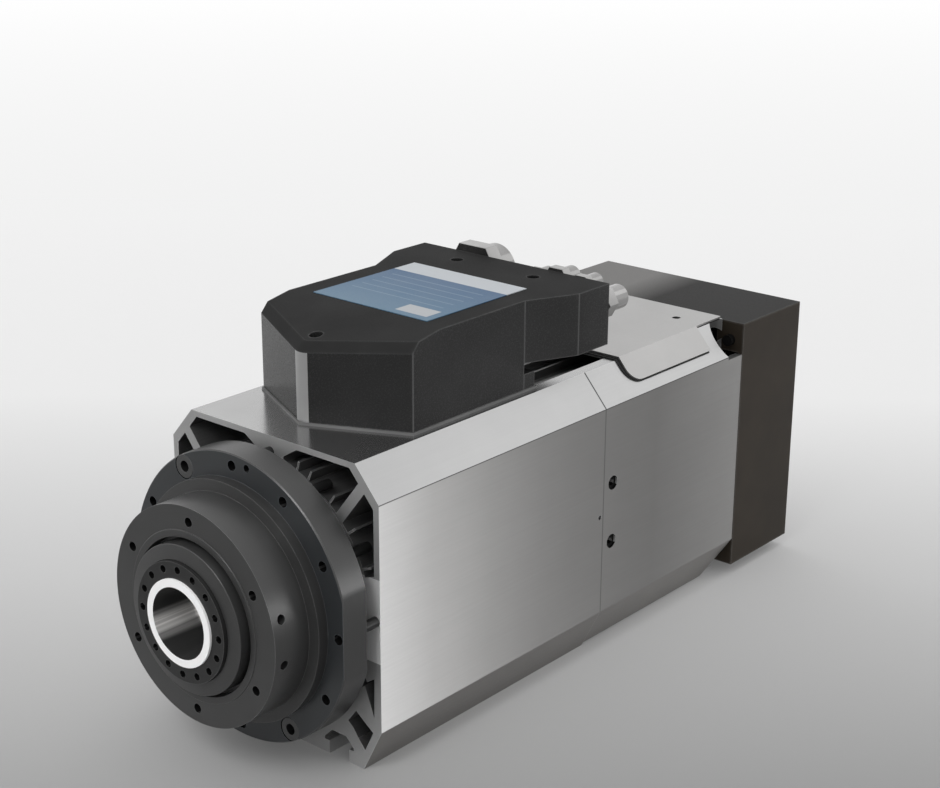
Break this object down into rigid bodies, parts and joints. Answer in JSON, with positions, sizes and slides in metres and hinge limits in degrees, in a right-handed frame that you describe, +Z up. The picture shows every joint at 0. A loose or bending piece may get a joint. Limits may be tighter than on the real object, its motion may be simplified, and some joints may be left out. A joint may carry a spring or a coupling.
{
  "type": "motor spindle",
  "caption": "Square motor spindle with a hollow-taper nose, drawbar, air unclamping cylinder, rear fan and a black terminal box on its aluminium housing.",
  "frame": {"origin": "centre of the nose face of the shaft, at the mouth of the tool taper", "axes": "the shaft lies along Y and its nose points to -Y; +Z is up, the terminal box is on top; +X is the side that the picture shows"},
  "size_m": [0.1506, 0.4548, 0.2236],
  "materials": {
    "extruded_aluminium": "brushed",
    "machined_aluminium": "satin",
    "bent_aluminium": "satin",
    "black_anodised": "satin",
    "dark_steel": "satin",
    "ground_steel": "polished",
    "laminated_steel": "matt",
    "copper_winding": "gloss",
    "nickel_plated": "polished",
    "black_plastic": "satin",
    "black_coated_steel": "satin",
    "black_rubber": "matt",
    "light_gasket": "matt",
    "label_film": "gloss"
  },
  "bodies": {
    "housing": {"front_housing": "extruded_aluminium", "rear_housing": "extruded_aluminium", "bearing_flange": "black_anodised", "nose_lock_ring": "black_anodised", "flange_screws": "dark_steel", "flange_studs": "dark_steel", "front_bearing_outer_rings": "ground_steel", "rear_bearing_outer_rings": "ground_steel", "outer_spacer": "ground_steel", "stator_core": "laminated_steel", "stator_windings": "copper_winding", "rear_bearing_plate": "machined_aluminium", "rear_bearing_cover": "machined_aluminium", "unclamp_cylinder": "machined_aluminium", "cylinder_cover": "machined_aluminium", "sensor_holder": "machined_aluminium", "speed_sensor": "nickel_plated", "rear_cover": "black_coated_steel", "cover_screws": "dark_steel", "fan_mount": "black_coated_steel", "fan_motor": "black_plastic", "fan_guard": "black_coated_steel", "terminal_box": "black_plastic", "box_gasket": "light_gasket", "box_screws": "dark_steel", "terminal_block": "light_gasket", "label_plate": "label_film", "power_gland": "nickel_plated", "signal_connector": "nickel_plated", "air_fitting_small": "nickel_plated", "air_fitting_large": "nickel_plated", "coolant_fitting": "nickel_plated", "plate_seal": "black_rubber", "access_plate": "bent_aluminium", "plate_screws": "dark_steel"},
    "rotor": {"spindle_shaft": "ground_steel", "labyrinth_ring": "black_anodised", "front_bearing_inner_rings": "ground_steel", "front_bearing_balls": "ground_steel", "inner_spacer": "ground_steel", "front_shaft_nut": "dark_steel", "rotor_core": "laminated_steel", "rear_bearing_inner_rings": "ground_steel", "rear_bearing_balls": "ground_steel", "rear_shaft_nut": "dark_steel", "tone_wheel": "dark_steel", "disc_springs": "dark_steel", "gripper_segments": "ground_steel"},
    "drawbar": {"drawbar": "ground_steel", "drawbar_nut": "dark_steel"},
    "piston": {"piston": "machined_aluminium", "piston_seal": "black_rubber"},
    "fan": {"fan": "black_plastic"}
  },
  "joints": [
    {"name": "rotor_spin", "type": "hinge", "parent": "housing", "child": "rotor", "pos_m": [0, 0, 0], "axis": [0, 1, 0], "continuous": true},
    {"name": "drawbar_slide", "type": "slide", "parent": "rotor", "child": "drawbar", "axis": [0, -1, 0], "range_m": [0, 0.008], "stiffness_N_per_m": 20000, "springref_m": -0.002, "deforming": ["disc_springs"]},
    {"name": "piston_slide", "type": "slide", "parent": "housing", "child": "piston", "axis": [0, -1, 0], "range_m": [0, 0.01]},
    {"name": "fan_spin", "type": "hinge", "parent": "housing", "child": "fan", "pos_m": [0, 0.436, 0], "axis": [0, 1, 0], "continuous": true}
  ],
  "couplings": [
    {"joint": "piston_slide", "follows": "drawbar_slide", "ratio": 1}
  ]
}
